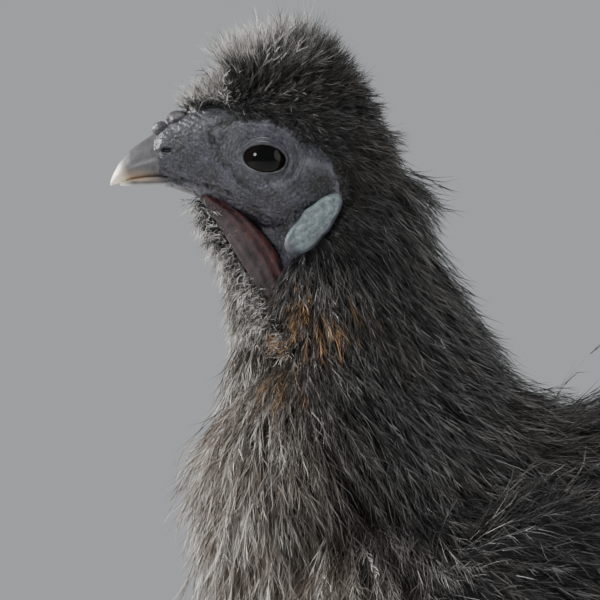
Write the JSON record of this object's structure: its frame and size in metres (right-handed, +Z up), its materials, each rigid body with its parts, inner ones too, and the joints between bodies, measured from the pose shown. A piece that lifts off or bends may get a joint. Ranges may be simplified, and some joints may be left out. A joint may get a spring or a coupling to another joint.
{
  "type": "silkie chicken",
  "caption": "Life-size standing silkie hen with a crest, walnut comb, bare dark face, blue earlobes, silky coat and feathered five-toed feet.",
  "frame": {"origin": "on the floor, under the middle of the bounding box", "axes": "+Z up, the hen faces -X, its left side faces -Y"},
  "size_m": [0.2674, 0.1787, 0.3214],
  "materials": {
    "plumage": "silky, dark charcoal with a taupe breast",
    "face_skin": "bare skin, fine papillae, slightly oily",
    "comb_skin": "bare skin, warty, slightly oily",
    "earlobe_skin": "bare skin, wrinkled, turquoise",
    "wattle_skin": "bare skin, dark red",
    "bill_horn": "horn, dark slate with a pale tip",
    "claw_horn": "horn, worn",
    "eye": "wet, glossy",
    "leg_skin": "scaly, slate blue-grey"
  },
  "bodies": {
    "root": {"bill_lower": "bill_horn", "bill_upper": "bill_horn", "claw_fifth_left": "claw_horn", "claw_fifth_right": "claw_horn", "claw_hind_left": "claw_horn", "claw_hind_right": "claw_horn", "claw_inner_left": "claw_horn", "claw_inner_right": "claw_horn", "claw_middle_left": "claw_horn", "claw_middle_right": "claw_horn", "claw_outer_left": "claw_horn", "claw_outer_right": "claw_horn", "comb": "comb_skin", "crest": "plumage", "earlobe_left": "earlobe_skin", "earlobe_right": "earlobe_skin", "eye_left": "eye", "eye_right": "eye", "foot_left": "leg_skin", "foot_right": "leg_skin", "head": "face_skin", "neck": "plumage", "shank_left": "leg_skin", "shank_right": "leg_skin", "tail": "plumage", "thigh_left": "plumage", "thigh_right": "plumage", "torso": "plumage", "wattle_left": "wattle_skin", "wattle_right": "wattle_skin", "wing_left": "plumage", "wing_right": "plumage"}
  },
  "joints": []
}
